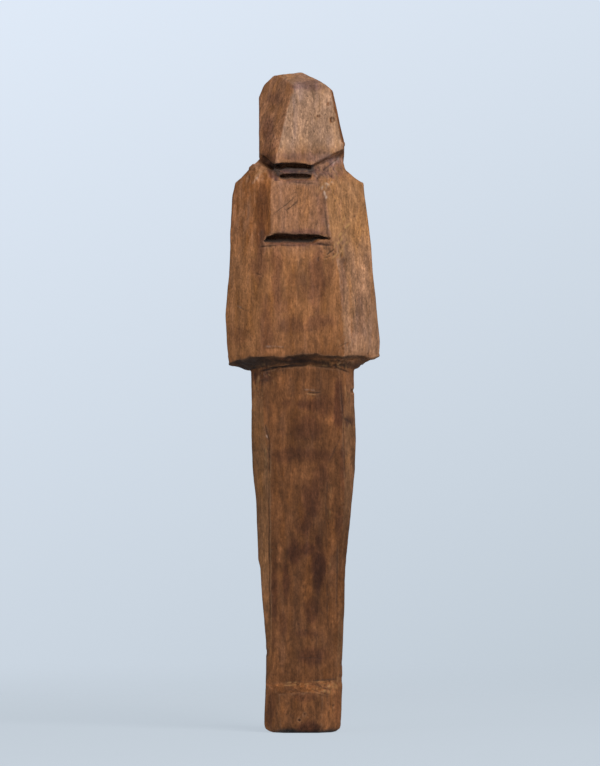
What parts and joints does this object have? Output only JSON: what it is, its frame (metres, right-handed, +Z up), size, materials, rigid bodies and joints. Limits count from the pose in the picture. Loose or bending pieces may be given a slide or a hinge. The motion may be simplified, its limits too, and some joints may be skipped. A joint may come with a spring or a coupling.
{
  "type": "ushabti figurine",
  "caption": "Small standing mummy-shaped funerary figure, whittled in broad flat cuts from one billet of brown wood, with a blank head, a squared chest panel and a plain foot block.",
  "frame": {"origin": "centre of the figure's bounding box in plan, on the plane of its sole, which is the surface it stands on", "axes": "+Z up from the sole to the crown, -Y the way the figure faces, +X towards the viewer's right when seen from the front"},
  "size_m": [0.0512, 0.0336, 0.2201],
  "materials": {
    "wood": "bare old wood, dry, darkened and stained by age and handling, with a very faint sheen on the facets"
  },
  "bodies": {
    "root": {"ushabti_figurine": "wood"}
  },
  "joints": []
}
